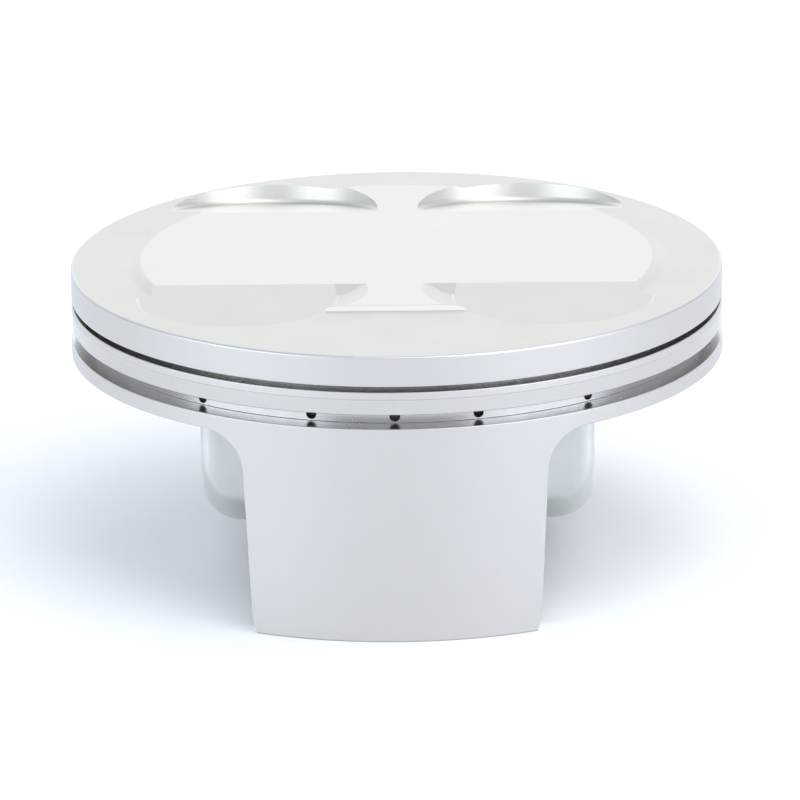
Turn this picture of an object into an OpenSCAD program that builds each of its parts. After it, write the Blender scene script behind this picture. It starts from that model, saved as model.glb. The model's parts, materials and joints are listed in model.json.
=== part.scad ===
// Four-valve motorcycle piston with its wrist pin and two wire circlips.
// +Z is the cylinder axis, crown up; X is the wrist pin's axis; the exhaust side is -Y.
// The piston stands on its skirt at z = 0. Lengths are in millimetres.

/* [Cylinder and skirt] */
// Diameter of the cylinder bore that the piston runs in
bore_d = 95; // [94:0.5:97]
// Radial running clearance between the cylinder and the skirt
running_gap = 0.03; // [0.02:0.01:0.05]
// Height of the crown's flat rim above the bottom of the skirt
rim_z = 42.1; // [41.5:0.1:44]
// Half width of the skirt where it leaves the ring belt
skirt_top_x = 21.5; // [21.3:0.05:22.5]
// Half width of the skirt just above its cut corners
skirt_low_x = 20.6; // [20.4:0.1:21]
// Wall thickness of the skirt
skirt_t = 2.9; // [2.5:0.1:3.5]
// Radius of the arch between the skirt's edge and the ring belt
arch_r = 5.8; // [5.4:0.1:6.2]

/* [Crown] */
// Height of the raised plateau above the crown's rim
dome_h = 0.7; // [0.5:0.05:0.9]
// Radius of the plateau's flat top
dome_top_r = 37.2; // [36.5:0.1:37.8]
// Horizontal width of the slope round the plateau
dome_flank = 2.2; // [1.8:0.1:2.4]
// Distance from the axis to the plateau's straight front edge
dome_front = 24.8; // [24.6:0.1:25.2]
// Width of the steep slope at the plateau's front
dome_front_slope = 0.3; // [0.2:0.1:0.6]
// Crown thickness, from the rim to its underside
crown_t = 7.6; // [7.2:0.1:8.2]

/* [Valve pockets] */
// Tilt of the pocket floors, equal to the valve angle
valve_angle = 11.3; // [10.5:0.1:12]
// Radius of an exhaust pocket
exhaust_r = 14.9; // [14.9:0.1:15.1]
// Distance of an exhaust pocket's centre from the YZ plane
exhaust_x = 22.6; // [22.4:0.1:22.6]
// Distance of an exhaust pocket's centre in front of the pin axis
exhaust_y = 16.9; // [16:0.1:17.5]
// Distance in front of the pin axis where the exhaust floors meet the rim's level
exhaust_floor_y = 17.4; // [17:0.1:18]
// Width of the slope between an exhaust pocket and the plateau
exhaust_flare = 3.8; // [3.8:0.1:4.2]
// Radius of an intake pocket
intake_r = 15.6; // [15:0.1:16]
// Distance of an intake pocket's centre from the YZ plane
intake_x = 18.5; // [18.2:0.1:19]
// Distance of an intake pocket's centre behind the pin axis
intake_y = 24.5; // [24:0.1:24.8]
// Distance behind the pin axis where the intake floors meet the rim's level
intake_floor_y = 26.5; // [26:0.1:27]

/* [Ring belt] */
// Height of the land above the compression ring
top_land = 4.4; // [4:0.1:4.8]
// Width of the compression ring groove
top_groove = 0.81; // [0.8:0.01:1.02]
// Depth of the compression ring groove
top_groove_depth = 3.8; // [3.4:0.1:4]
// Width of the land between the two grooves
second_land = 3.34; // [3.2:0.01:3.5]
// Width of the oil ring groove
oil_groove = 2.02; // [2.01:0.01:2.1]
// Depth of the oil ring groove
oil_groove_depth = 3.2; // [3:0.1:3.4]
// Width of the land below the oil ring groove
third_land = 2.23; // [2:0.01:2.4]
// Amount that the two upper lands are smaller than the skirt, in radius
land_relief = 0.12; // [0.1:0.01:0.2]
// Amount that the third land is smaller than the skirt, in radius
third_relief = 0.03; // [0.02:0.01:0.04]
// Diameter of the oil drain holes
drain_d = 1.5; // [1.3:0.1:1.7]

/* [Wrist pin] */
// Outer diameter of the wrist pin
pin_d = 19; // [18.5:0.1:19.2]
// Length of the wrist pin
pin_length = 52; // [51.5:0.1:52]
// Diameter of the hole through the wrist pin
pin_hole_d = 12; // [11:0.5:13]
// Distance from the crown's rim down to the pin axis
compression_height = 24.8; // [24.5:0.1:25.2]
// Radial running clearance of the pin in its bores
pin_gap = 0.02; // [0.01:0.005:0.03]

/* [Bosses] */
// Distance between the outer faces of the two bosses
boss_span = 57.1; // [57:0.1:57.6]
// Gap between the bosses for the connecting rod's small end
rod_gap = 23; // [22:0.5:24]
// Half depth of a boss, from the pin axis to its flat front and back
boss_half = 14; // [13.8:0.1:14.2]
// Radius of a boss's rounded underside, seen along X
boss_r = 18.5; // [18.3:0.1:18.6]
// Radius of a boss's lower outer corner
boss_corner_r = 5.5; // [5:0.1:5.5]
// Diameter of the oil hole up through each boss
boss_oil_d = 2.5; // [2:0.1:3]

/* [Circlips] */
// Diameter of a circlip's round wire
wire_d = 1.2; // [1.1:0.05:1.2]
// Opening angle between a circlip's two ends
clip_gap_angle = 50; // [40:5:60]

/* [Hidden] */
$fn = 96;
EPS = 0.01;
CUT = 60;                                   // longer than any cut needs

body_r = bore_d / 2 - running_gap;
land_r = body_r - land_relief;
step_r = land_r - 0.12;                     // lower, polished band of the second land
third_r = body_r - third_relief;
edge = 0.15;                                // broken edge of a land
crown_edge = 0.35;                          // broken edge round the crown

// Levels below the crown's rim, which is z = 0 while the piston is drawn
z_groove1 = -top_land;
z_land2 = z_groove1 - top_groove;
z_step = z_land2 - 1.04;
z_groove2 = z_land2 - second_land;
z_land3 = z_groove2 - oil_groove;
z_belt = z_land3 - third_land;
arch_z = z_belt - arch_r + 0.2;             // where the skirt reaches its full radius
z_pin = -compression_height;
z_boss_axis = -20;                          // centre of the bosses' rounded undersides
z_boss = z_boss_axis - boss_r;
// Circle of the exhaust flares where they leave the plateau's flat top
flare_x = 16.3;
flare_y = 16.35;
flare_r = 12.35;
skirt_cut = 2.3;                            // height of the skirt's cut lower corners

belt_in_r = 40;                             // inner wall behind the ring grooves
skirt_in_r = body_r - skirt_t;
boss_out_x = boss_span / 2;
boss_edge_r = 1.6;                          // rounded upright edges of a boss
panel_x = [17, 19.8];                       // inner and outer face of a side panel
panel_end_y = 41.5;                         // ends inside the skirt's wall
rib_y = [11.5, 14.5];                       // ribs that tie the two bosses together
rib_depth = 3.5;
drain_angles = [-38, -15.4, 0, 15.4, 38];
drain_drop = 0.1;                           // drain holes below the middle of the groove

bore_r = pin_d / 2 + pin_gap;
wire_r = wire_d / 2;
clip_room = 0.02;                           // groove's radius over the wire's
clip_r = bore_r + 0.1;                      // radius of the wire's centre line
clip_x = pin_length / 2 + 0.08 + wire_r + clip_room;
bore_chamfer = 0.8;
notch_r = 1.6;                              // slot for prising a circlip out

// Turns something drawn along +Z so that it lies along +X
module along_x() { rotate([0, 90, 0]) children(); }

// Extrudes an X-Z outline to a depth of w, centred on Y = 0
module along_y(w) { rotate([90, 0, 0]) linear_extrude(w, center = true) children(); }

// Draws its children on both sides of the YZ plane
module both_sides() {
    children();
    mirror([1, 0, 0]) children();
}

// Draws its children at the front and at the back
module front_and_back() {
    children();
    mirror([0, 1, 0]) children();
}

// ---- Ring belt and crown ----

// A land from level a down to level b, with broken edges
function land(r, a, b) = [[r - edge, a], [r, a - edge], [r, b + edge], [r - edge, b]];

module ring_belt() {
    root1 = land_r - top_groove_depth;
    root2 = body_r - oil_groove_depth;
    rotate_extrude()
        polygon(concat(
            [[0, 0], [land_r - crown_edge, 0], [land_r, -crown_edge],
             [land_r, z_groove1 + edge], [land_r - edge, z_groove1],
             [root1, z_groove1], [root1, z_land2],
             [land_r - edge, z_land2], [land_r, z_land2 - edge],
             [land_r, z_step], [step_r, z_step - 0.08],
             [step_r, z_groove2 + edge], [step_r - edge, z_groove2],
             [root2, z_groove2], [root2, z_land3]],
            land(third_r, z_land3, z_belt),
            [[0, z_belt]]));
}

// Raised plateau: a low cone with a straight sloping front
module plateau() {
    foot_r = dome_top_r + dome_flank;
    intersection() {
        translate([0, 0, -1]) {
            cylinder(h = 1 + EPS, r = foot_r);
            translate([0, 0, 1]) cylinder(h = dome_h, r1 = foot_r, r2 = dome_top_r);
        }
        rotate([90, 0, 90])
            linear_extrude(2 * CUT, center = true)
                polygon([[-dome_front - dome_front_slope, 0], [-dome_front, dome_h],
                         [CUT, dome_h], [CUT, -1], [-dome_front - dome_front_slope, -1]]);
    }
}

// Cutter above a pocket's tilted floor. The floor slopes down towards -Y
// and meets the rim's level floor_y in front of the pin axis.
module pocket_cut(x, y, r, floor_y) {
    floor_z = (floor_y - y) * tan(valve_angle);
    translate([x, -y, floor_z]) rotate([valve_angle, 0, 0]) cylinder(h = 12, r = r);
}

// Slope between an exhaust pocket and the plateau. It starts inside the pocket's wall,
// just above the rim, so that it cuts nothing but the plateau.
module exhaust_flare_cut() {
    start_z = 0.05;
    slope = exhaust_flare / (dome_h - start_z);
    rise = dome_h + 0.2;
    start_r = flare_r - exhaust_flare;
    intersection() {
        translate([flare_x, -flare_y, start_z])
            cylinder(h = rise, r1 = start_r, r2 = start_r + slope * rise);
        pocket_cut(exhaust_x, exhaust_y, 2 * exhaust_r, exhaust_floor_y);
    }
}

module valve_pockets() {
    both_sides() {
        pocket_cut(exhaust_x, exhaust_y, exhaust_r, exhaust_floor_y);
        exhaust_flare_cut();
        mirror([0, 1, 0]) pocket_cut(intake_x, intake_y, intake_r, intake_floor_y);
    }
}

// Oil drain holes through the root of the oil ring groove
module drain_holes() {
    z = (z_groove2 + z_land3) / 2 - drain_drop;
    front_and_back()
        for (a = drain_angles)
            rotate([0, 0, a]) translate([0, -belt_in_r + 4, z])
                rotate([90, 0, 0]) cylinder(h = body_r - belt_in_r, d = drain_d);
}

// Space inside the piston, below the crown
module inner_space() {
    rotate_extrude()
        polygon([[0, -crown_t], [belt_in_r - 3, -crown_t], [belt_in_r, -crown_t - 3],
                 [belt_in_r, z_belt + 0.6], [skirt_in_r, z_belt - 7],
                 [skirt_in_r, -CUT], [0, -CUT]]);
}

// ---- Skirt ----

// Draws a flat outline on both sides of its upright axis
module both_halves() {
    children();
    mirror([1, 0]) children();
}

// Outline of the skirt seen along Y
module skirt_outline() {
    difference() {
        both_halves()
            polygon([[0, -rim_z], [skirt_low_x - 0.6, -rim_z], [skirt_low_x, -rim_z + skirt_cut],
                     [skirt_top_x, arch_z], [skirt_top_x + arch_r, arch_z],
                     [skirt_top_x + arch_r, z_belt + 1], [0, z_belt + 1]]);
        both_halves() translate([skirt_top_x + arch_r, arch_z]) circle(r = arch_r);
    }
}

// Round below the arches, and tapered up to the third land beside them
module skirt_blank() {
    top = z_belt + 1;
    intersection() {
        rotate_extrude()
            polygon([[0, -rim_z], [body_r, -rim_z], [body_r, arch_z],
                     [third_r, z_belt], [third_r, top], [0, top]]);
        along_y(2 * CUT) skirt_outline();
    }
}

// Upright panels that tie the skirt's edges to the bosses
module side_panels() {
    front_and_back() both_sides()
        translate([panel_x[0], 0, 0]) rotate([90, 0, 90])
            linear_extrude(panel_x[1] - panel_x[0])
                polygon([[-boss_half + 2, -crown_t + 2], [-boss_half + 2, z_boss + 7],
                         [-panel_end_y, -rim_z + 1.5], [-panel_end_y, z_belt - 1],
                         [-belt_in_r + 6, -crown_t + 2]]);
}

// ---- Pin bosses ----

// Rounded underside of the right-hand boss, turned about an axis above the pin's
module boss_underside() {
    length = boss_span / 2 - rod_gap / 2;
    side = boss_r - boss_corner_r;
    translate([rod_gap / 2, 0, z_boss_axis]) along_x() rotate_extrude() {
        square([boss_r, length - boss_corner_r]);
        square([side, length]);
        translate([side, length - boss_corner_r]) intersection() {
            circle(r = boss_corner_r);
            square(boss_corner_r);
        }
    }
}

// Outline of the right-hand boss seen from above, with rounded outer edges
module boss_plan() {
    in_x = rod_gap / 2;
    square_x = boss_out_x - boss_edge_r - in_x;
    translate([in_x, -boss_half]) square([square_x, 2 * boss_half]);
    translate([in_x, -boss_half + boss_edge_r])
        square([boss_out_x - in_x, 2 * (boss_half - boss_edge_r)]);
    for (s = [-1, 1])
        translate([boss_out_x - boss_edge_r, s * (boss_half - boss_edge_r)])
            circle(r = boss_edge_r);
}

module boss() {
    intersection() {
        union() {
            translate([0, -boss_half, z_boss_axis])
                cube([boss_out_x, 2 * boss_half, -crown_t + 2 - z_boss_axis]);
            boss_underside();
        }
        translate([0, 0, -CUT]) linear_extrude(CUT) boss_plan();
    }
}

// Ribs under the crown that tie the two bosses together
module boss_ribs() {
    front_and_back()
        translate([-rod_gap / 2 - 1, -rib_y[1], -crown_t - rib_depth])
            cube([rod_gap + 2, rib_y[1] - rib_y[0], rib_depth + 1]);
}

// Bore, circlip groove, prising slot and oil hole of the right-hand boss
module boss_cuts() {
    translate([0, 0, z_pin]) {
        along_x() cylinder(h = CUT, r = bore_r);
        translate([boss_out_x - bore_chamfer, 0, 0]) along_x()
            cylinder(h = bore_chamfer + EPS, r1 = bore_r, r2 = bore_r + bore_chamfer + EPS);
        translate([clip_x, 0, 0]) along_x()
            rotate_extrude() translate([clip_r, 0]) circle(r = wire_r + clip_room, $fn = 32);
        translate([clip_x - 1, 0, -bore_r]) along_x() cylinder(h = 10, r = notch_r, $fn = 32);
        translate([(rod_gap / 2 + boss_out_x) / 2, 0, z_boss - z_pin - 1])
            cylinder(h = z_pin - z_boss, d = boss_oil_d, $fn = 32);
    }
}

// ---- Pieces ----

module piston_body() {
    color("#dfe2e6") translate([0, 0, rim_z]) difference() {
        union() {
            difference() {
                union() {
                    ring_belt();
                    plateau();
                    skirt_blank();
                }
                inner_space();
            }
            side_panels();
            both_sides() boss();
            boss_ribs();
        }
        valve_pockets();
        drain_holes();
        both_sides() boss_cuts();
    }
}

// Hollow pin with broken outer edges and a tapered hole at each end
module wrist_pin() {
    r = pin_d / 2;
    hole_r = pin_hole_d / 2;
    half = pin_length / 2;
    taper = 7;
    color("#c6c9ce") translate([0, 0, rim_z + z_pin]) along_x() rotate_extrude()
        polygon([[hole_r, -half + taper], [hole_r + 1, -half], [r - 0.5, -half], [r, -half + 0.5],
                 [r, half - 0.5], [r - 0.5, half], [hole_r + 1, half], [hole_r, half - taper]]);
}

// Open ring of round wire, its gap at the top
module circlip(x) {
    turn = 360 - clip_gap_angle;
    color("#8f9399") translate([x, 0, rim_z + z_pin]) along_x()
        rotate([0, 0, 180 + clip_gap_angle / 2])
            rotate_extrude(angle = turn) translate([clip_r + EPS, 0]) circle(r = wire_r, $fn = 32);
}

module circlip_left() { circlip(-clip_x); }
module circlip_right() { circlip(clip_x); }

piston_body();
wrist_pin();
circlip_left();
circlip_right();
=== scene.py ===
"""Finished look of a forged four-valve motorcycle piston, its wrist pin and its two circlips."""

import json
import math

import bmesh
import bpy
from mathutils import Matrix, Vector


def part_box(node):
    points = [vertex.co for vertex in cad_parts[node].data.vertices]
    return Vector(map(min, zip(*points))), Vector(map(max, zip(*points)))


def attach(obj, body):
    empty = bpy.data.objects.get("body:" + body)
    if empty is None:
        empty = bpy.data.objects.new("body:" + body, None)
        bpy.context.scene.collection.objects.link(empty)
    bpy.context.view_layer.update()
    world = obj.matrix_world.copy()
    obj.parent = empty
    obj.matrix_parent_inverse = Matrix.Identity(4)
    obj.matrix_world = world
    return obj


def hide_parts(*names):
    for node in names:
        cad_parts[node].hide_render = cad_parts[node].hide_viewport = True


bl_info = {
    "name": "Motorcycle Piston",
    "version": (1, 0, 0),
    "blender": (4, 5, 0),
    "location": "3D View > Sidebar > Piston",
    "description": "Builds a forged motorcycle piston with its wrist pin and circlips",
    "category": "Add Mesh",
}

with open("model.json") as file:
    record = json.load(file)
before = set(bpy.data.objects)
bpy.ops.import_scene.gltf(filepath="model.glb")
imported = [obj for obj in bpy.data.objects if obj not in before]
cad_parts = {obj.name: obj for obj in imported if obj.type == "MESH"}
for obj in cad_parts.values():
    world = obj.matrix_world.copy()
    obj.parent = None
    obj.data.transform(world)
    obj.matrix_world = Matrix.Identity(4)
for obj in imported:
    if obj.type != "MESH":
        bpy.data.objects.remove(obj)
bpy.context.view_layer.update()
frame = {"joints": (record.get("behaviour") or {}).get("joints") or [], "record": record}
MOUNTS = {mount["name"]: mount for mount in frame["record"]["mounts"]}

# Sizes below are in millimetres, with z = 0 at the crown's rim, until place() puts a piece.
MM = 0.001
TURN_STEPS = 288  # sides of a turned surface: 1 mm at the crown
ARC_STEPS = 4  # steps of a broken edge


# ---- Sizes that come from the frame ----


def mount_mm(name, key):
    """A mount's size, in millimetres."""
    return MOUNTS[name]["dims"][key]


def mount_z(name):
    """A mount's height in the frame, in millimetres."""
    return MOUNTS[name]["pos_m"][2] / MM


def box_mm(node):
    """A CAD node's lowest and highest corners, in millimetres."""
    low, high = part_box(node)
    return Vector(low) / MM, Vector(high) / MM


BODY_R = box_mm("piston_body")[1].y
THIRD_R = mount_mm("cylinder_guide", "r_mm")
PIN_R = mount_mm("small_end_seat", "r_mm")
ROD_GAP = mount_mm("small_end_seat", "length_mm")
PIN_HALF = box_mm("wrist_pin")[1].x
CLIP_X = sum(corner.x for corner in box_mm("circlip_right")) / 2


class PistonSizes(bpy.types.PropertyGroup):
    """Sizes of the piston that the frame doesn't state, in metres"""

    plateau_height: bpy.props.FloatProperty(
        name="Plateau height", description="Height of the raised plateau above the rim",
        default=0.0007, unit="LENGTH", subtype="DISTANCE")
    plateau_radius: bpy.props.FloatProperty(
        name="Plateau radius", description="Radius of the plateau's flat top",
        default=0.0372, unit="LENGTH", subtype="DISTANCE")
    plateau_flank: bpy.props.FloatProperty(
        name="Plateau flank", description="Width of the slope round the plateau",
        default=0.0022, unit="LENGTH", subtype="DISTANCE")
    plateau_front: bpy.props.FloatProperty(
        name="Plateau front", description="Distance from the axis to the plateau's straight front",
        default=0.0248, unit="LENGTH", subtype="DISTANCE")
    plateau_front_slope: bpy.props.FloatProperty(
        name="Plateau front slope", description="Width of the steep slope at that straight front",
        default=0.0003, unit="LENGTH", subtype="DISTANCE")
    valve_angle: bpy.props.FloatProperty(
        name="Valve angle", description="Tilt of the pocket floors",
        default=math.radians(11.3), unit="ROTATION", subtype="ANGLE")
    exhaust_radius: bpy.props.FloatProperty(
        name="Exhaust pocket radius", description="Radius of an exhaust pocket",
        default=0.0149, unit="LENGTH", subtype="DISTANCE")
    exhaust_centre: bpy.props.FloatVectorProperty(
        name="Exhaust pocket centre", description="Side and front distance of its centre",
        size=2, default=(0.0226, 0.0169), unit="LENGTH")
    exhaust_level: bpy.props.FloatProperty(
        name="Exhaust floor level", description="Distance to where the floor meets the rim's level",
        default=0.0174, unit="LENGTH", subtype="DISTANCE")
    exhaust_flare: bpy.props.FloatProperty(
        name="Exhaust flare", description="Width of the slope from the plateau into the pocket",
        default=0.0038, unit="LENGTH", subtype="DISTANCE")
    flare_radius: bpy.props.FloatProperty(
        name="Flare radius", description="Radius of that slope where it leaves the plateau's top",
        default=0.01235, unit="LENGTH", subtype="DISTANCE")
    flare_centre: bpy.props.FloatVectorProperty(
        name="Flare centre", description="Side and front distance of that radius's centre",
        size=2, default=(0.0163, 0.01635), unit="LENGTH")
    intake_radius: bpy.props.FloatProperty(
        name="Intake pocket radius", description="Radius of an intake pocket",
        default=0.0156, unit="LENGTH", subtype="DISTANCE")
    intake_centre: bpy.props.FloatVectorProperty(
        name="Intake pocket centre", description="Side and rear distance of its centre",
        size=2, default=(0.0185, 0.0245), unit="LENGTH")
    intake_level: bpy.props.FloatProperty(
        name="Intake floor level", description="Distance to where the floor meets the rim's level",
        default=0.0265, unit="LENGTH", subtype="DISTANCE")
    cutter_corner: bpy.props.FloatProperty(
        name="Cutter corner", description="Corner radius between a pocket's floor and its wall",
        default=0.0008, unit="LENGTH", subtype="DISTANCE")
    land_relief: bpy.props.FloatProperty(
        name="Land relief", description="How much smaller in radius the upper lands are",
        default=0.00012, unit="LENGTH", subtype="DISTANCE")
    skirt_top: bpy.props.FloatProperty(
        name="Skirt top", description="Half width of the skirt below the arch",
        default=0.0215, unit="LENGTH", subtype="DISTANCE")
    skirt_low: bpy.props.FloatProperty(
        name="Skirt low", description="Half width of the skirt above its cut corners",
        default=0.0205, unit="LENGTH", subtype="DISTANCE")
    arch_radius: bpy.props.FloatProperty(
        name="Arch radius", description="Radius of the arch between skirt and ring belt",
        default=0.0058, unit="LENGTH", subtype="DISTANCE")
    skirt_wall: bpy.props.FloatProperty(
        name="Skirt wall", description="Wall thickness of the skirt",
        default=0.0029, unit="LENGTH", subtype="DISTANCE")
    crown_wall: bpy.props.FloatProperty(
        name="Crown wall", description="Thickness from the rim to the crown's underside",
        default=0.0076, unit="LENGTH", subtype="DISTANCE")
    boss_half: bpy.props.FloatProperty(
        name="Boss half depth", description="Distance from the pin axis to a boss's front and back",
        default=0.014, unit="LENGTH", subtype="DISTANCE")
    boss_radius: bpy.props.FloatProperty(
        name="Boss underside radius", description="Radius of a boss's rounded underside",
        default=0.0185, unit="LENGTH", subtype="DISTANCE")
    boss_axis: bpy.props.FloatProperty(
        name="Boss underside axis", description="Depth of that radius's axis below the rim",
        default=0.02, unit="LENGTH", subtype="DISTANCE")
    boss_corner: bpy.props.FloatProperty(
        name="Boss corner", description="Radius of a boss's lower outer corner",
        default=0.0055, unit="LENGTH", subtype="DISTANCE")
    boss_span: bpy.props.FloatProperty(
        name="Boss span", description="Distance between the outer faces of the bosses",
        default=0.0571, unit="LENGTH", subtype="DISTANCE")
    drain_diameter: bpy.props.FloatProperty(
        name="Drain hole", description="Diameter of an oil drain hole",
        default=0.0015, unit="LENGTH", subtype="DISTANCE")
    wire_diameter: bpy.props.FloatProperty(
        name="Circlip wire", description="Diameter of a circlip's wire",
        default=0.0012, unit="LENGTH", subtype="DISTANCE")


def hex_colour(text):
    """An sRGB hex colour as linear red, green, blue and alpha."""
    parts = [int(text[i:i + 2], 16) / 255 for i in (1, 3, 5)]
    return [c / 12.92 if c <= 0.04045 else ((c + 0.055) / 1.055) ** 2.4 for c in parts] + [1.0]


class PistonFinish(bpy.types.PropertyGroup):
    """Colours of the piston's finishes"""

    turned: bpy.props.FloatVectorProperty(
        name="Turned", description="Turned aluminium of the lands and skirts",
        size=4, subtype="COLOR", default=hex_colour("#cdccca"))
    crown: bpy.props.FloatVectorProperty(
        name="Crown", description="Milled and blasted aluminium of the crown",
        size=4, subtype="COLOR", default=hex_colour("#c9c8c0"))
    # Partly painted light: a light grey for blasted aluminium, raised further to stand in for floor
    # bounce light on the forged faces in shade under the crown.
    forging: bpy.props.FloatVectorProperty(
        name="Forging", description="Blasted aluminium of the forged faces",
        size=4, subtype="COLOR", default=hex_colour("#e2e4e2"))
    pin: bpy.props.FloatVectorProperty(
        name="Pin", description="Ground steel of the wrist pin",
        size=4, subtype="COLOR", default=hex_colour("#c4c6ca"))
    wire: bpy.props.FloatVectorProperty(
        name="Circlip", description="Spring steel of the circlips",
        size=4, subtype="COLOR", default=hex_colour("#85888e"))


# ---- Nodes and materials ----


def add(tree, kind, inputs=None, **settings):
    """Adds a node, sets its properties and feeds its inputs with values or other nodes' outputs."""
    node = tree.nodes.new(kind)
    for key, value in settings.items():
        setattr(node, key, value)
    for key, value in (inputs or {}).items():
        socket = node.inputs[key]
        if isinstance(value, bpy.types.NodeSocket):
            tree.links.new(value, socket)
        else:
            socket.default_value = value
    return node


def new_metal(name, colour, roughness):
    """A metal with one shader; returns the material, its tree, shader and object coordinates."""
    material = bpy.data.materials.new(name)
    material.use_nodes = True
    material.diffuse_color = colour
    tree = material.node_tree
    shader = tree.nodes["Principled BSDF"]
    shader.inputs["Base Color"].default_value = colour
    shader.inputs["Metallic"].default_value = 1.0
    shader.inputs["Roughness"].default_value = roughness
    coordinates = add(tree, "ShaderNodeTexCoord").outputs["Object"]
    return material, tree, shader, coordinates


def toned(colour, factor):
    """A colour made darker or lighter by a factor."""
    return [c * factor for c in colour[:3]] + [1]


def vary(tree, shader, colour, factor, dark, spread, roughness):
    """Lets one pattern darken the colour and spread the roughness about its mean."""
    shade = add(tree, "ShaderNodeMix", {"Factor": factor}, data_type="RGBA")
    shade.inputs[6].default_value = toned(colour, dark)
    shade.inputs[7].default_value = colour
    tree.links.new(shade.outputs[2], shader.inputs["Base Color"])
    rough = add(tree, "ShaderNodeMapRange", {
        "Value": factor, "To Min": roughness + spread, "To Max": roughness - spread})
    tree.links.new(rough.outputs["Result"], shader.inputs["Roughness"])


def grain(tree, coordinates, size_mm, detail=3.0):
    """Noise whose grains are about size_mm across."""
    return add(tree, "ShaderNodeTexNoise", {
        "Vector": coordinates, "Scale": 1 / (size_mm * MM), "Detail": detail,
        "Roughness": 0.55}).outputs["Fac"]


def bump(tree, shader, height, depth_mm):
    """Bump of a real depth."""
    node = add(tree, "ShaderNodeBump", {
        "Height": height, "Distance": depth_mm * MM, "Strength": 1.0})
    tree.links.new(node.outputs["Normal"], shader.inputs["Normal"])


def turned_aluminium(colour):
    """Aluminium alloy, finish turned: fine feed lines round the axis and a soft, even sheen."""
    roughness = 0.40
    material, tree, shader, coordinates = new_metal("turned_aluminium", colour, roughness)
    # Feed lines are 0.12 mm apart on the real part; they are drawn at 0.3 mm so that they show.
    lines = add(tree, "ShaderNodeTexWave", {
        "Vector": coordinates, "Scale": 2 * math.pi / (20 * 0.3 * MM),
        "Distortion": 0.0}, wave_type="BANDS", bands_direction="Z").outputs["Fac"]
    cloud = grain(tree, coordinates, 6.0)
    vary(tree, shader, colour, cloud, 0.97, 0.03, roughness)
    bump(tree, shader, lines, 0.0012)
    return material


def milled_crown(colour):
    """Aluminium alloy, milled and fine blasted: a pale satin with the faintest clouding."""
    roughness = 0.46
    material, tree, shader, coordinates = new_metal("milled_crown", colour, roughness)
    cloud = grain(tree, coordinates, 9.0)
    vary(tree, shader, colour, cloud, 0.965, 0.03, roughness)
    # Blasting grit leaves dimples of 0.1 mm; they are drawn at 0.35 mm.
    bump(tree, shader, grain(tree, coordinates, 0.35), 0.003)
    return material


def milled_pocket_painted_light(colour):
    """Aluminium alloy, end milled: a satin made slightly brighter than the crown round it by
    painted light, the crown's colour lightened 13 per cent against the shade on the tilted floor.
    """
    # Painted light: the crown's colour lightened so that the tilted pocket floor doesn't look
    # darker than the rim.
    tone = toned(colour, 1.13)
    roughness = 0.42
    material, tree, shader, coordinates = new_metal("milled_pocket_painted_light", tone, roughness)
    vary(tree, shader, tone, grain(tree, coordinates, 7.0), 0.97, 0.03, roughness)
    bump(tree, shader, grain(tree, coordinates, 0.5), 0.002)
    return material


def milled_wall_painted_light(colour):
    """Aluminium alloy, side milled: the upright wall of a valve pocket, its brightness painted
    light, the crown's colour lightened 30 per cent to stand in for a bright reflection.
    """
    # Painted reflection: the crown's colour lightened 30 per cent on walls that face the camera.
    tone = toned(colour, 1.3)
    roughness = 0.46
    material, tree, shader, coordinates = new_metal("milled_wall_painted_light", tone, roughness)
    vary(tree, shader, tone, grain(tree, coordinates, 5.0), 0.97, 0.03, roughness)
    return material


def groove_wall(colour):
    """Aluminium alloy, plunge turned and left bright: smoother than the lands beside it."""
    roughness = 0.26
    material, tree, shader, coordinates = new_metal("groove_wall", colour, roughness)
    vary(tree, shader, colour, grain(tree, coordinates, 3.0), 0.94, 0.04, roughness)
    return material


def milled_plateau(colour):
    """Aluminium alloy, face milled: a little brighter than the blasted rim round it."""
    tone = toned(colour, 1.03)
    roughness = 0.40
    material, tree, shader, coordinates = new_metal("milled_plateau", tone, roughness)
    vary(tree, shader, tone, grain(tree, coordinates, 11.0), 0.975, 0.02, roughness)
    bump(tree, shader, grain(tree, coordinates, 0.35), 0.002)
    return material


def polished_step(colour):
    """Aluminium alloy, finish turned with a fine feed: brighter and smoother than the lands."""
    tone = toned(colour, 0.97)
    roughness = 0.24
    material, tree, shader, coordinates = new_metal("polished_step", tone, roughness)
    vary(tree, shader, tone, grain(tree, coordinates, 5.0), 0.97, 0.02, roughness)
    return material


def blasted_forging(colour):
    """Aluminium alloy, forged and shot blasted: grey, even and matt, with shallow dents. Its light
    grey is partly the blasted finish and partly painted light for the faces in shade under the
    crown.
    """
    roughness = 0.58
    material, tree, shader, coordinates = new_metal("blasted_forging", colour, roughness)
    cloud = grain(tree, coordinates, 4.0)
    vary(tree, shader, colour, cloud, 0.90, 0.05, roughness)
    # Shot leaves craters of 0.3 mm; they are drawn at 0.5 mm over shallow 2.5 mm waves.
    fine = grain(tree, coordinates, 0.5)
    broad = grain(tree, coordinates, 2.5, 1.0)
    height = add(tree, "ShaderNodeMath", {0: broad, 1: 3.0, 2: fine}, operation="MULTIPLY_ADD")
    bump(tree, shader, height.outputs[0], 0.012)
    return material


def honed_bore(colour):
    """Aluminium alloy, honed: the bright round wall that the pin turns in."""
    roughness = 0.2
    material, tree, shader, coordinates = new_metal("honed_bore", colour, roughness)
    vary(tree, shader, colour, grain(tree, coordinates, 1.5), 0.95, 0.04, roughness)
    return material


def ground_steel(colour):
    """Case-hardened steel, ground and lapped: a dark bright grey with hairline rings."""
    roughness = 0.16
    material, tree, shader, coordinates = new_metal("ground_steel", colour, roughness)
    rings = add(tree, "ShaderNodeTexWave", {
        "Vector": coordinates, "Scale": 180.0, "Distortion": 2.0, "Detail": 3.0,
        "Detail Scale": 3.0}, wave_type="BANDS", bands_direction="X").outputs["Fac"]
    vary(tree, shader, colour, rings, 0.94, 0.03, roughness)
    return material


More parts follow.
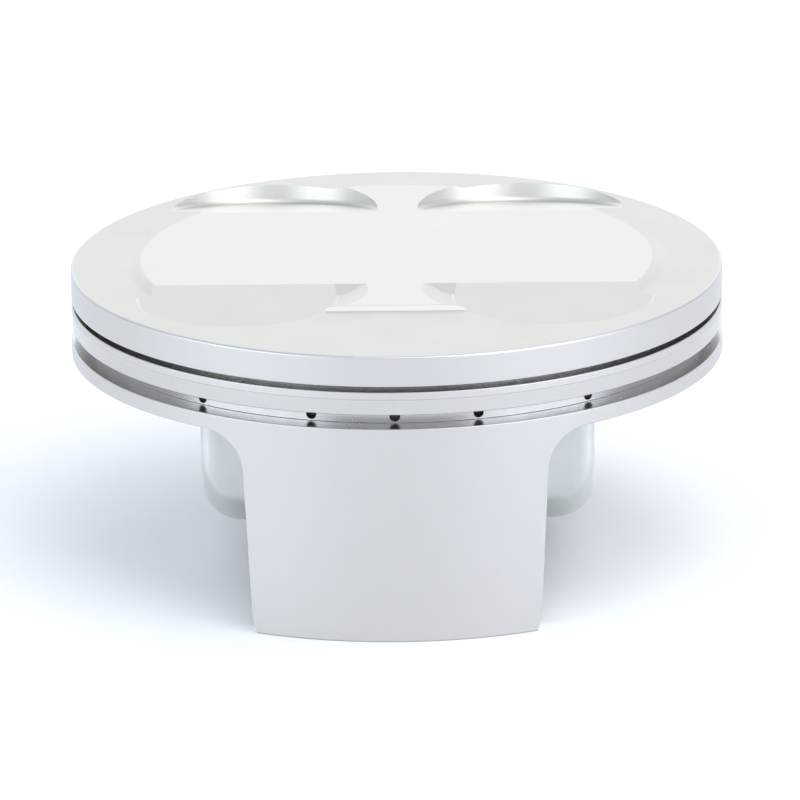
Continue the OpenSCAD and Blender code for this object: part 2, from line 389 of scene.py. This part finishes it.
def spring_wire(colour):
    """Spring steel wire, drawn and phosphated: dark grey with a dull shine."""
    roughness = 0.36
    material, tree, shader, coordinates = new_metal("spring_wire", colour, roughness)
    vary(tree, shader, colour, grain(tree, coordinates, 0.8), 0.85, 0.06, roughness)
    return material


# ---- Mesh making ----


def arc_corner(before, corner, after, radius, steps):
    """Points of an arc that rounds a corner of a flat outline."""
    here = Vector(corner)
    back, ahead = (Vector(before) - here), (Vector(after) - here)
    half = back.angle(ahead) / 2
    reach = radius / math.tan(half)
    start, end = here + back.normalized() * reach, here + ahead.normalized() * reach
    centre = here + (back.normalized() + ahead.normalized()).normalized() * radius / math.sin(half)
    a, b = start - centre, end - centre
    turn = math.atan2(a.cross(b), a.dot(b))
    points = []
    for i in range(steps + 1):
        angle = turn * i / steps
        points.append(centre + Vector((
            a.x * math.cos(angle) - a.y * math.sin(angle),
            a.x * math.sin(angle) + a.y * math.cos(angle))))
    return points


def rounded(corners, steps=ARC_STEPS):
    """Points, and each side's finish, of an outline of corners (x, y, radius, finish)."""
    points, finishes = [], []
    count = len(corners)
    for i, (x, y, radius, finish) in enumerate(corners):
        if radius > 0:
            after = corners[(i + 1) % count][:2]
            arc = arc_corner(corners[i - 1][:2], (x, y), after, radius, steps)
            points += arc
            finishes += [corners[i - 1][3]] * (len(arc) - 1) + [finish]
        else:
            points.append(Vector((x, y)))
            finishes.append(finish)
    return points, finishes


def mesh_object(name, build, finishes):
    """An object whose mesh build(bmesh) makes, with one material for each finish."""
    shape = bmesh.new()
    build(shape)
    bmesh.ops.recalc_face_normals(shape, faces=shape.faces)
    mesh = bpy.data.meshes.new(name)
    shape.to_mesh(mesh)
    shape.free()
    for material in finishes:
        mesh.materials.append(material)
    item = bpy.data.objects.new(name, mesh)
    bpy.context.scene.collection.objects.link(item)
    return item


def lathe(name, corners, materials, steps=TURN_STEPS, arc_steps=ARC_STEPS):
    """Turns a closed outline of corners (radius, z, corner radius, finish) about the z axis."""
    points, finishes = rounded(corners, arc_steps)

    def build(shape):
        rings = []
        for radius, z in points:
            if radius < 1e-6:
                rings.append([shape.verts.new((0, 0, z))])
            else:
                rings.append([
                    shape.verts.new((radius * math.cos(a), radius * math.sin(a), z))
                    for a in (2 * math.pi * k / steps for k in range(steps))])
        for i, ring in enumerate(rings):
            other = rings[(i + 1) % len(rings)]
            if len(ring) == 1 and len(other) == 1:
                continue
            for k in range(steps):
                j = (k + 1) % steps
                loop = [ring[k % len(ring)], ring[j % len(ring)],
                        other[j % len(other)], other[k % len(other)]]
                loop = list(dict.fromkeys(loop))
                shape.faces.new(loop).material_index = finishes[i]

    return mesh_object(name, build, materials)


def extrude(name, points, low, high, turn, material):
    """A flat outline extruded from low to high along z, then turned by a matrix."""

    def build(shape):
        bottom = [shape.verts.new((x, y, low)) for x, y in points]
        top = [shape.verts.new((x, y, high)) for x, y in points]
        shape.faces.new(bottom)
        shape.faces.new(top)
        for i in range(len(points)):
            j = (i + 1) % len(points)
            shape.faces.new((bottom[i], bottom[j], top[j], top[i]))
        bmesh.ops.transform(shape, matrix=turn, verts=shape.verts)

    return mesh_object(name, build, [material])


def block(name, low, high, material, turn=Matrix()):
    """A box between two corners."""
    outline = [(low[0], low[1]), (high[0], low[1]), (high[0], high[1]), (low[0], high[1])]
    return extrude(name, outline, low[2], high[2], turn, material)


# Turns that lay an outline drawn in x and y on another plane of the piston
FROM_FRONT = Matrix.Rotation(math.pi / 2, 4, "X")  # outline in X and Z, depth along -Y
FROM_SIDE = Matrix(((0, 0, 1, 0), (1, 0, 0, 0), (0, 1, 0, 0), (0, 0, 0, 1)))  # in Y and Z


def baked(item):
    """Applies an object's modifiers to its mesh."""
    graph = bpy.context.evaluated_depsgraph_get()
    mesh = bpy.data.meshes.new_from_object(item.evaluated_get(graph))
    old = item.data
    item.modifiers.clear()
    item.data = mesh
    bpy.data.meshes.remove(old)
    return item


def combine(body, operation, *tools):
    """Joins, cuts or trims body with each tool in turn, and uses the tools up."""
    for tool in tools:
        change = body.modifiers.new("combine", "BOOLEAN")
        change.solver = "MANIFOLD"
        change.operation = operation
        change.object = tool
        change.material_mode = "TRANSFER"
        baked(body)
        mesh = tool.data
        bpy.data.objects.remove(tool)
        bpy.data.meshes.remove(mesh)
    return body


def mirrored(item, axis):
    """A copy of an object mirrored across a plane through the origin, faces still outwards."""
    flip = Matrix.Diagonal([-1 if i == axis else 1 for i in range(3)]).to_4x4()
    mesh = item.data.copy()
    mesh.transform(flip)
    mesh.flip_normals()
    copy = bpy.data.objects.new(item.name, mesh)
    bpy.context.scene.collection.objects.link(copy)
    return copy


def place(item, origin):
    """Scales a piece from millimetres to metres and moves its mesh to its place in the frame."""
    item.data.transform(Matrix.Translation(Vector(origin) * MM) @ Matrix.Scale(MM, 4))
    return item


def smooth(item, angle=28, finish_angle=5):
    """Smooth shading with crisp edges above angle, or above finish_angle between two finishes."""
    item.data.polygons.foreach_set("use_smooth", [True] * len(item.data.polygons))
    item.data.set_sharp_from_angle(angle=math.radians(angle))
    shape = bmesh.new()
    shape.from_mesh(item.data)
    for edge in shape.edges:
        faces = edge.link_faces
        if len(faces) == 2 and faces[0].material_index != faces[1].material_index:
            edge.smooth = edge.smooth and edge.calc_face_angle() < math.radians(finish_angle)
    shape.to_mesh(item.data)
    shape.free()
    weighted = item.modifiers.new("weighted normals", "WEIGHTED_NORMAL")
    weighted.keep_sharp = True
    weighted.weight = 80
    return baked(item)


# ---- Piston ----

TURNED, GROOVE, CROWN, STEP, PLATEAU = range(5)  # finishes of the turned blank
SLAB = -6.0  # level where the turned blank meets the forged core
FAR = 60.0  # further out than any cut needs
LAND_EDGE = 0.15  # broken edge of a land
CROWN_EDGE = 0.35  # broken edge round the crown
ROOT_CORNER = 0.1  # corner radius at the root of a ring groove
STEP_DOWN = 1.04  # from the compression groove down to the step on the second land
STEP_DEPTH = 0.12  # how much smaller in radius the land is below that step
RELEASE = 0.3  # the inner space starts this far above the ring belt's underside
DRAIN_DEGREES = (0, 15.4, 38)  # drain holes to either side of the skirt's middle
DRAIN_DROP = 0.1  # drain holes below the middle of the oil groove
BORE_R = PIN_R + 0.02  # pin bore
CLIP_ROOM = 0.02  # circlip groove's radius over the wire's
SPOT_DEPTH = 0.25  # depth of the machined spot face round a pin bore
SPOT_R = 11.6  # radius of that spot face
NOTCH_R = 1.6  # slot for prising a circlip out
OIL_HOLE_R = 1.25  # oil hole up through a boss
CLIP_OPENING = math.radians(50)  # gap between a circlip's ends


class Levels:
    """Heights and radii of the piston, in millimetres, from the sizes and the frame."""

    def __init__(self, sizes):
        low, high = box_mm("piston_body")
        self.height = sizes.plateau_height / MM
        self.rim = high.z - self.height
        self.pin = frame["joints"][0]["pos_m"][2] / MM - self.rim
        self.bottom = low.z - self.rim
        self.land_r = BODY_R - sizes.land_relief / MM
        self.grooves = []
        for name in ("compression_ring_groove", "oil_ring_groove"):
            middle, half = mount_z(name) - self.rim, mount_mm(name, "length_mm") / 2
            self.grooves.append((middle + half, middle - half, mount_mm(name, "r_mm")))
        guide = mount_mm("cylinder_guide", "length_mm")
        self.belt = mount_z("cylinder_guide") - self.rim - guide / 2 - LAND_EDGE
        self.arch = self.belt - sizes.arch_radius / MM + 0.2


def turned_blank(sizes, level, materials):
    """The ring belt and crown as the lathe leaves them, with the plateau's soft round flank."""
    (top1, low1, root1), (top2, low2, root2) = level.grooves
    land, edge, root = level.land_r, LAND_EDGE, ROOT_CORNER
    step_z, step_r = low1 - STEP_DOWN, land - STEP_DEPTH
    inner = 42.0
    corners = [
        (0, SLAB, 0, CROWN), (inner, SLAB, 0, CROWN), (inner, level.belt, 0, TURNED),
        (THIRD_R, level.belt, edge, TURNED), (THIRD_R, low2, edge, GROOVE),
        (root2, low2, root, GROOVE), (root2, top2, root, GROOVE),
        (step_r, top2, edge, STEP), (step_r, step_z - 0.1, 0, STEP),
        (land, step_z, 0, TURNED), (land, low1, edge, GROOVE),
        (root1, low1, root, GROOVE), (root1, top1, root, GROOVE),
        (land, top1, edge, TURNED), (land, 0, CROWN_EDGE, CROWN)]
    top_r, flank = sizes.plateau_radius / MM, sizes.plateau_flank / MM
    slope_steps = 10
    for i in range(slope_steps + 1):
        t = i / slope_steps
        corners.append((top_r + flank * (1 - t), level.height * t * t * (3 - 2 * t), 0, CROWN))
    corners[-1] = corners[-1][:3] + (PLATEAU,)
    corners.append((0, level.height, 0, PLATEAU))
    return lathe("turned_blank", corners, materials)


def front_slope(sizes, level, steep, flat):
    """Two cutters: one for the plateau's steep straight front, one for the flat rim before it."""
    front, slope = sizes.plateau_front / MM, sizes.plateau_front_slope / MM
    film = 0.004
    above = 5
    outline = [(-front + 0.3, level.height), (-front + 0.1, level.height - 0.06),
               (-front, level.height - 0.22), (-front - slope, film), (-FAR, film),
               (-FAR, above), (-front + 0.3, above)]
    # steep is the pocket wall's material, its colour lightened by painted light.
    return (extrude("front_slope", outline, -FAR, FAR, FROM_SIDE, steep),
            block("front_flat", (-FAR, -FAR, film - 0.001), (FAR, -front - slope, above), flat))


def pocket_cutter(radius, centre, level_y, angle, corner, materials, side, end):
    """End mill that has sunk a valve pocket, its axis along the valve stem."""
    profile = [(0, 0, 0, 0), (radius, 0, corner, 1), (radius, 14, 0, 0), (0, 14, 0, 0)]
    cutter = lathe("pocket_cutter", profile, materials, 160)
    floor = (level_y - centre[1]) * math.tan(angle)
    tilt = Matrix.Rotation(-end * angle, 4, "X")
    cutter.data.transform(
        Matrix.Translation((side * centre[0], end * centre[1], floor)) @ tilt)
    return cutter


def flare_cutter(sizes, level, material, side):
    """Soft slope that runs from the plateau down to an exhaust pocket's wall."""
    radius, flare = sizes.flare_radius / MM, sizes.exhaust_flare / MM
    start, steps = 0.05, 8  # it starts just above the rim, so that it cuts only the plateau
    profile = [(0, start, 0, 0)]
    for i in range(steps + 1):
        t = i / steps
        ease = t * t * (3 - 2 * t)
        profile.append((radius - flare * (1 - t),
                        start + (level.height - start) * (0.35 * t + 0.65 * ease), 0, 0))
    profile += [(radius + 0.4, level.height + 0.1, 0, 0), (0, level.height + 0.1, 0, 0)]
    cutter = lathe("flare_cutter", profile, [material], 160)
    x, y = (value / MM for value in sizes.flare_centre)
    cutter.data.transform(Matrix.Translation((side * x, -y, 0)))
    x, y = (value / MM for value in sizes.exhaust_centre)
    angle = sizes.valve_angle
    floor = (sizes.exhaust_level / MM - y) * math.tan(angle)
    above = Matrix.Translation((side * x, -y, floor)) @ Matrix.Rotation(angle, 4, "X")
    return combine(cutter, "INTERSECT",
                   block("above_floor", (-40, -40, 0), (40, 40, 12), material, above))


def skirt_outline(sizes, level):
    """Half of the skirt's outline seen from the front, as (x, z) points."""
    top, low = sizes.skirt_top / MM, sizes.skirt_low / MM
    arch = sizes.arch_radius / MM
    points = [(low - 0.6, level.bottom), (low, level.bottom + 2.3)]
    steps = 14
    for i in range(steps + 1):
        a = math.pi - math.pi / 2 * i / steps
        points.append((top + arch + arch * math.cos(a), level.arch + arch * math.sin(a)))
    points.append((top + arch, level.belt + 1.5))
    return points


def trimmed_envelope(sizes, level, turned, forged):
    """Everything that machining leaves of the forging below the crown."""
    right = skirt_outline(sizes, level)
    outline = [(-x, z) for x, z in reversed(right)] + right
    skirts = extrude("skirts", outline, -FAR, FAR, FROM_FRONT, forged)
    combine(skirts, "INTERSECT", lathe("skirt_turning", [
        (0, level.bottom, 0, 0), (BODY_R, level.bottom, 0.25, 0), (BODY_R, level.arch, 0, 0),
        (THIRD_R, level.belt, 0, 0), (THIRD_R, level.belt + 1.5, 0, 0),
        (0, level.belt + 1.5, 0, 0)], [turned]))
    middle = 18.5  # the bosses and their ribs lie nearer to the pin axis than this
    half = sizes.boss_span / MM / 2 + 0.5
    combine(skirts, "DIFFERENCE",
            block("middle", (-FAR, -middle, -FAR), (FAR, middle, level.belt + 0.05), forged))
    return combine(
        skirts, "UNION",
        block("boss_room", (-half, -middle - 0.01, -45), (half, middle + 0.01, SLAB + 0.9),
              forged),
        lathe("under_crown", [(0, level.belt + RELEASE, 0, 0), (43, level.belt + RELEASE, 0, 0),
                              (43, SLAB + 1, 0, 0), (0, SLAB + 1, 0, 0)], [forged]))


def boss_blank(sizes, material):
    """The right-hand pin boss: a block over a turned underside, before its edges are blended."""
    half, radius = sizes.boss_half / MM, sizes.boss_radius / MM
    in_x, out_x, top = ROD_GAP / 2, sizes.boss_span / MM / 2, -3.0
    axis_z, upright = -sizes.boss_axis / MM, 1.6
    boss = lathe("boss", [
        (0, in_x, 0, 0), (radius, in_x, 0, 0), (radius, out_x, sizes.boss_corner / MM, 0),
        (0, out_x, 0, 0)], [material], 192, 8)
    boss.data.transform(
        Matrix.Translation((0, 0, axis_z)) @ Matrix.Rotation(math.pi / 2, 4, "Y"))
    combine(boss, "UNION", block("boss_block", (in_x, -half, axis_z), (out_x, half, top), material))
    plan, _ = rounded([(in_x, -half, 0, 0), (out_x, -half, upright, 0),
                       (out_x, half, upright, 0), (in_x, half, 0, 0)], 6)
    return combine(boss, "INTERSECT", extrude("boss_plan", plan, -FAR, 0, Matrix(), material))


def forged_core(sizes, level, material):
    """The forging inside and below the ring belt, with the soft blends that a die leaves."""
    crown = -sizes.crown_wall / MM
    wall_r = BODY_R - sizes.skirt_wall / MM
    belt_r, over_r = 40.0, BODY_R + 1.6
    half_y, boss_low = sizes.boss_half / MM, -(sizes.boss_axis + sizes.boss_radius) / MM
    core = lathe("core", [
        (0, crown, 0, 0), (belt_r - 1, crown, 2.5, 0), (belt_r, level.belt + RELEASE, 0, 0),
        (42.8, level.belt + RELEASE, 0, 0), (42.8, SLAB + 0.8, 0, 0), (0, SLAB + 0.8, 0, 0)],
        [material], 144)
    skirts = lathe("skirts", [
        (belt_r, level.belt + 1.5, 0, 0), (belt_r, level.belt - 0.4, 2, 0),
        (wall_r, level.belt - 7, 4, 0), (wall_r, level.bottom - 1.5, 0, 0),
        (over_r, level.bottom - 1.5, 0, 0), (over_r, level.belt + 1.5, 0, 0)], [material], 144)
    half = sizes.skirt_top / MM + 1.2
    wide = half + sizes.arch_radius / MM
    combine(skirts, "INTERSECT", extrude("skirt_room", [
        (-half, -FAR), (half, -FAR), (half, level.belt - 4), (wide, level.belt - 0.4),
        (wide, 0), (-wide, 0), (-wide, level.belt - 0.4), (-half, level.belt - 4)],
        -FAR, FAR, FROM_FRONT, material))
    boss = boss_blank(sizes, material)
    tie = extrude("side_panel", [
        (-half_y + 2, crown + 3), (-half_y + 2, boss_low + 6),
        (-42.3, level.bottom + 1.5), (-42.3, level.belt), (-36, crown + 3)],
        16.8, 19.8, FROM_SIDE, material)
    rib = block("rib", (-ROD_GAP / 2 - 1, -14.3, crown - 3.5), (ROD_GAP / 2 + 1, -11.3, crown + 1),
                material)
    combine(core, "UNION", skirts, mirrored(boss, 0), boss, mirrored(rib, 1), rib)
    for side in (tie, mirrored(tie, 0)):
        combine(core, "UNION", mirrored(side, 1), side)
    remesh = core.modifiers.new("forging skin", "REMESH")
    remesh.mode = "VOXEL"
    remesh.voxel_size = 0.55
    blend = core.modifiers.new("die radii", "SMOOTH")
    blend.factor = 0.5
    blend.iterations = 6
    fewer = core.modifiers.new("fewer faces", "DECIMATE")
    fewer.ratio = 0.22
    return baked(core)


def drain_drills(sizes, level, material):
    """Drills for the oil drain holes, set out by a node tree round the oil ring groove."""
    tree = bpy.data.node_groups.new("drain_drills", "GeometryNodeTree")
    face = tree.interface
    face.new_socket("Geometry", in_out="OUTPUT", socket_type="NodeSocketGeometry")
    for name, kind in (("Radius", "NodeSocketFloat"), ("Length", "NodeSocketFloat"),
                       ("Reach", "NodeSocketFloat"), ("Height", "NodeSocketFloat"),
                       ("Material", "NodeSocketMaterial")):
        face.new_socket(name, in_out="INPUT", socket_type=kind)
    given = add(tree, "NodeGroupInput").outputs
    drill = add(tree, "GeometryNodeMeshCylinder", {
        "Vertices": 24, "Radius": given["Radius"], "Depth": given["Length"]})
    along = add(tree, "GeometryNodeTransform", {
        "Geometry": drill.outputs["Mesh"], "Rotation": (math.pi / 2, 0, 0)})
    place_at = add(tree, "ShaderNodeCombineXYZ", {"Y": given["Reach"], "Z": given["Height"]})
    out = add(tree, "GeometryNodeTransform", {
        "Geometry": along.outputs[0], "Translation": place_at.outputs[0]})
    joined = add(tree, "GeometryNodeJoinGeometry")
    for degrees in DRAIN_DEGREES:
        for half_turn in (0, 180):
            for side in ((1, -1) if degrees else (1,)):
                spun = add(tree, "GeometryNodeTransform", {
                    "Geometry": out.outputs[0],
                    "Rotation": (0, 0, math.radians(half_turn + side * degrees))})
                tree.links.new(spun.outputs[0], joined.inputs[0])
    real = add(tree, "GeometryNodeRealizeInstances", {0: joined.outputs[0]})
    finish = add(tree, "GeometryNodeSetMaterial", {
        "Geometry": real.outputs[0], "Material": given["Material"]})
    add(tree, "NodeGroupOutput", {0: finish.outputs[0]})

    drills = bpy.data.objects.new("drain_drills", bpy.data.meshes.new("drain_drills"))
    bpy.context.scene.collection.objects.link(drills)
    change = drills.modifiers.new("drain drills", "NODES")
    change.node_group = tree
    top, low, root = level.grooves[1]
    values = {"Radius": sizes.drain_diameter / MM / 2, "Length": 12.0, "Reach": root - 3.0,
              "Height": (top + low) / 2 - DRAIN_DROP, "Material": material}
    for item in tree.interface.items_tree:
        if item.in_out == "INPUT":
            change[item.identifier] = values[item.name]
    return baked(drills)


def pin_bore_cutter(sizes, level, material, side):
    """Bore, circlip groove, broken edge and spot face of one boss, turned as one tool."""
    face_x = sizes.boss_span / MM / 2 - SPOT_DEPTH
    groove = sizes.wire_diameter / MM / 2 + CLIP_ROOM
    profile = [(0, 0, 0, 0), (BORE_R, 0, 0, 0)]
    steps = 10
    for i in range(steps + 1):
        a = math.pi * i / steps
        profile.append((BORE_R + 0.1 + groove * math.sin(a), CLIP_X - groove * math.cos(a), 0, 0))
    profile += [(BORE_R, CLIP_X + groove + 0.05, 0, 0), (BORE_R, face_x - 0.75, 0, 0),
                (BORE_R + 0.8, face_x, 0, 0), (SPOT_R, face_x, 0.4, 0),
                (SPOT_R + 0.4, face_x + 4.25, 0, 0), (0, face_x + 4.25, 0, 0)]
    cutter = lathe("pin_bore_cutter", profile, [material], 128)
    cutter.data.transform(
        Matrix.Translation((0, 0, level.pin)) @ Matrix.Rotation(side * math.pi / 2, 4, "Y"))
    return cutter


def small_drill(name, radius, low, high, turn, material):
    """A plain round drill from low to high along z, then turned by a matrix."""
    drill = lathe(name, [(0, low, 0, 0), (radius, low, 0, 0), (radius, high, 0, 0),
                         (0, high, 0, 0)], [material], 32)
    drill.data.transform(turn)
    return drill


def boss_tools(sizes, level, bored):
    """All the tools that cut the two bosses."""
    tools = []
    across = Matrix.Rotation(math.pi / 2, 4, "Y")
    middle_x = (ROD_GAP / 2 + sizes.boss_span / MM / 2) / 2
    for side in (-1, 1):
        tools.append(pin_bore_cutter(sizes, level, bored, side))
        notch = Matrix.Translation((0, 0, level.pin - PIN_R)) @ across
        ends = sorted((side * (CLIP_X - 1), side * (CLIP_X + 9)))
        tools.append(small_drill("notch", NOTCH_R, ends[0], ends[1], notch, bored))
        tools.append(small_drill("oil_hole", OIL_HOLE_R, level.pin - 16, level.pin,
                                 Matrix.Translation((side * middle_x, 0, 0)), bored))
    return tools


class PISTON_OT_forging(bpy.types.Operator):
    """Build the piston: turned blank, forged core, machined pockets, grooves and bores"""

    bl_idname = "piston.forging"
    bl_label = "Piston"
    bl_options = {"REGISTER", "UNDO"}

    def execute(self, context):
        sizes, finish = context.scene.piston_sizes, context.scene.piston_finish
        level = Levels(sizes)
        turned, crown = turned_aluminium(finish.turned), milled_crown(finish.crown)
        # pocket and wall carry painted light: the crown's colour lightened for the pocket floors,
        # the pocket walls and the plateau's steep front.
        groove, pocket = groove_wall(finish.turned), milled_pocket_painted_light(finish.crown)
        wall = milled_wall_painted_light(finish.crown)
        # The forging colour is partly painted light, lighter for the faces in shade under the
        # crown.
        forged, bored = blasted_forging(finish.forging), honed_bore(finish.turned)

        core = forged_core(sizes, level, forged)
        combine(core, "INTERSECT", trimmed_envelope(sizes, level, turned, forged))
        piston = turned_blank(sizes, level, [
            turned, groove, crown, polished_step(finish.turned), milled_plateau(finish.crown)])
        combine(piston, "DIFFERENCE", *front_slope(sizes, level, wall, crown))
        for side in (-1, 1):
            for radius, centre, level_y, end in (
                    (sizes.exhaust_radius, sizes.exhaust_centre, sizes.exhaust_level, -1),
                    (sizes.intake_radius, sizes.intake_centre, sizes.intake_level, 1)):
                combine(piston, "DIFFERENCE", pocket_cutter(
                    radius / MM, [c / MM for c in centre], level_y / MM, sizes.valve_angle,
                    sizes.cutter_corner / MM, [pocket, wall], side, end))
            combine(piston, "DIFFERENCE", flare_cutter(sizes, level, crown, side))
        combine(piston, "UNION", core)
        combine(piston, "DIFFERENCE", drain_drills(sizes, level, bored))
        combine(piston, "DIFFERENCE", *boss_tools(sizes, level, bored))
        smooth(place(piston, (0, 0, level.rim)))
        piston.name = "piston_forging"
        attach(piston, "piston")
        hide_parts("piston_body")
        return {"FINISHED"}


class PISTON_OT_wrist_pin(bpy.types.Operator):
    """Build the hollow wrist pin"""

    bl_idname = "piston.wrist_pin"
    bl_label = "Wrist Pin"
    bl_options = {"REGISTER", "UNDO"}

    def execute(self, context):
        steel = ground_steel(context.scene.piston_finish.pin)
        level = Levels(context.scene.piston_sizes)
        hole, taper, half = 6.0, 7.0, PIN_HALF
        corners = [(hole, -half + taper, 0.5, 0), (hole + 1, -half, 0.25, 0),
                   (PIN_R, -half, 0.5, 0), (PIN_R, half, 0.5, 0),
                   (hole + 1, half, 0.25, 0), (hole, half - taper, 0.5, 0)]
        pin = lathe("wrist_pin_steel", corners, [steel], 160)
        pin.data.transform(Matrix.Rotation(math.pi / 2, 4, "Y"))
        smooth(place(pin, (0, 0, level.pin + level.rim)))
        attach(pin, "wrist_pin")
        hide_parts("wrist_pin")
        return {"FINISHED"}


def circlip_tree():
    """Node tree of an open ring of round wire, its ends closed with flat caps."""
    tree = bpy.data.node_groups.new("circlip", "GeometryNodeTree")
    face = tree.interface
    face.new_socket("Geometry", in_out="OUTPUT", socket_type="NodeSocketGeometry")
    for name, kind in (("Ring Radius", "NodeSocketFloat"), ("Wire Radius", "NodeSocketFloat"),
                       ("Start", "NodeSocketFloat"), ("Sweep", "NodeSocketFloat"),
                       ("Material", "NodeSocketMaterial")):
        face.new_socket(name, in_out="INPUT", socket_type=kind)
    given = add(tree, "NodeGroupInput").outputs
    arc = add(tree, "GeometryNodeCurveArc", {
        "Resolution": 96, "Radius": given["Ring Radius"], "Start Angle": given["Start"],
        "Sweep Angle": given["Sweep"]}, mode="RADIUS")
    section = add(tree, "GeometryNodeCurvePrimitiveCircle", {
        "Resolution": 20, "Radius": given["Wire Radius"]}, mode="RADIUS")
    wire = add(tree, "GeometryNodeCurveToMesh", {
        "Curve": arc.outputs["Curve"], "Profile Curve": section.outputs["Curve"],
        "Fill Caps": True})
    real = add(tree, "GeometryNodeRealizeInstances", {0: wire.outputs[0]})
    finish = add(tree, "GeometryNodeSetMaterial", {
        "Geometry": real.outputs[0], "Material": given["Material"]})
    add(tree, "NodeGroupOutput", {0: finish.outputs[0]})
    return tree


class PISTON_OT_circlips(bpy.types.Operator):
    """Build the two round-wire circlips that hold the pin"""

    bl_idname = "piston.circlips"
    bl_label = "Circlips"
    bl_options = {"REGISTER", "UNDO"}

    def execute(self, context):
        sizes = context.scene.piston_sizes
        level = Levels(sizes)
        steel = spring_wire(context.scene.piston_finish.wire)
        tree = circlip_tree()
        wire_r = sizes.wire_diameter / MM / 2
        for node, x in (("circlip_left", -CLIP_X), ("circlip_right", CLIP_X)):
            clip = bpy.data.objects.new(node + "_wire", bpy.data.meshes.new(node))
            context.scene.collection.objects.link(clip)
            change = clip.modifiers.new("circlip", "NODES")
            change.node_group = tree
            values = {"Ring Radius": PIN_R + 0.13, "Wire Radius": wire_r,
                      "Start": math.pi + CLIP_OPENING / 2, "Sweep": 2 * math.pi - CLIP_OPENING,
                      "Material": steel}
            for item in tree.interface.items_tree:
                if item.in_out == "INPUT":
                    change[item.identifier] = values[item.name]
            baked(clip)
            clip.data.transform(Matrix.Rotation(math.pi / 2, 4, "Y"))
            smooth(place(clip, (x, 0, level.pin + level.rim)), 60)
            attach(clip, "piston")
            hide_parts(node)
        return {"FINISHED"}


# ---- Stage ----


def panel(name, centre, size, radiance, colour):
    """A soft panel of an even radiance that faces the piston."""
    light = bpy.data.lights.new(name, "AREA")
    light.shape = "RECTANGLE"
    light.size, light.size_y = size
    light.energy = radiance * math.pi * size[0] * size[1]
    light.color = hex_colour(colour)[:3]
    item = bpy.data.objects.new(name, light)
    item.location = centre
    aim = Vector((0, 0, 0.02)) - Vector(centre)
    item.rotation_euler = aim.to_track_quat("-Z", "Y").to_euler()
    bpy.context.scene.collection.objects.link(item)


# Panels of the light tent: name, centre and size in metres, radiance and colour
PANELS = (
    ("tent_top", (0.5, -0.35, 1.3), (1.2, 1.2), 1.75, "#fffdf8"),
    ("tent_back", (0, 1.6, 0.7), (2.6, 1.3), 0.78, "#fffef8"),
    ("tent_left", (-1.05, -0.75, 0.42), (1.3, 0.8), 2.0, "#ecf4ff"),
    ("tent_right", (1.05, -0.75, 0.42), (1.3, 0.8), 2.0, "#ecf2ff"),
)


class PISTON_OT_stage(bpy.types.Operator):
    """Build the pale floor, the soft studio light and the camera"""

    bl_idname = "piston.stage"
    bl_label = "Stage"
    bl_options = {"REGISTER", "UNDO"}

    def execute(self, context):
        scene = context.scene
        scene.view_settings.view_transform = "Standard"
        paper = bpy.data.materials.new("white_paper")
        paper.use_nodes = True
        shader = paper.node_tree.nodes["Principled BSDF"]
        shader.inputs["Base Color"].default_value = hex_colour("#f3f3f3")
        shader.inputs["Roughness"].default_value = 0.7
        floor = block("floor", (-1500, -1500, -20), (1500, 1500, 0), paper)
        place(floor, (0, 0, 0))

        world = bpy.data.worlds.new("studio")
        scene.world = world
        world.use_nodes = True
        sky = world.node_tree.nodes["Background"]
        sky.inputs["Color"].default_value = hex_colour("#e2eaf6")
        sky.inputs["Strength"].default_value = 0.98
        for values in PANELS:
            panel(*values)

        rim = Levels(scene.piston_sizes).rim * MM
        distance, elevation, turn = 1.08973, math.radians(16.567), math.radians(0.6)
        lens = bpy.data.cameras.new("camera")
        lens.lens = 337.07
        lens.sensor_width = 36
        lens.clip_end = 20
        camera = bpy.data.objects.new("camera", lens)
        back = Vector((math.sin(turn) * math.cos(elevation),
                       -math.cos(turn) * math.cos(elevation), math.sin(elevation)))
        eye = Vector((0, 0, rim)) + back * distance
        aim = Vector((0.0003, 0, rim - 0.0213))
        camera.location = eye
        camera.rotation_mode = "QUATERNION"
        level_view = (aim - eye).to_track_quat("-Z", "Y")
        roll = Matrix.Rotation(math.radians(-0.66), 3, "Z").to_quaternion()
        camera.rotation_quaternion = level_view @ roll
        scene.collection.objects.link(camera)
        scene.camera = camera
        return {"FINISHED"}


class PISTON_PT_panel(bpy.types.Panel):
    """Lists the piston's operators and sizes"""

    bl_label = "Motorcycle Piston"
    bl_idname = "PISTON_PT_panel"
    bl_space_type = "VIEW_3D"
    bl_region_type = "UI"
    bl_category = "Piston"

    def draw(self, context):
        for operator in OPERATORS:
            self.layout.operator(operator.bl_idname)
        for group in (context.scene.piston_sizes, context.scene.piston_finish):
            for name in group.__annotations__:
                self.layout.prop(group, name)


OPERATORS = (PISTON_OT_stage, PISTON_OT_forging, PISTON_OT_wrist_pin, PISTON_OT_circlips)
CLASSES = (PistonSizes, PistonFinish) + OPERATORS + (PISTON_PT_panel,)


def register():
    for item in CLASSES:
        bpy.utils.register_class(item)
    bpy.types.Scene.piston_sizes = bpy.props.PointerProperty(type=PistonSizes)
    bpy.types.Scene.piston_finish = bpy.props.PointerProperty(type=PistonFinish)


def unregister():
    del bpy.types.Scene.piston_sizes
    del bpy.types.Scene.piston_finish
    for item in reversed(CLASSES):
        bpy.utils.unregister_class(item)


def main():
    """Builds everything."""
    register()
    bpy.ops.piston.stage()
    bpy.ops.piston.forging()
    bpy.ops.piston.wrist_pin()
    bpy.ops.piston.circlips()


if __name__ == "__main__":
    main()
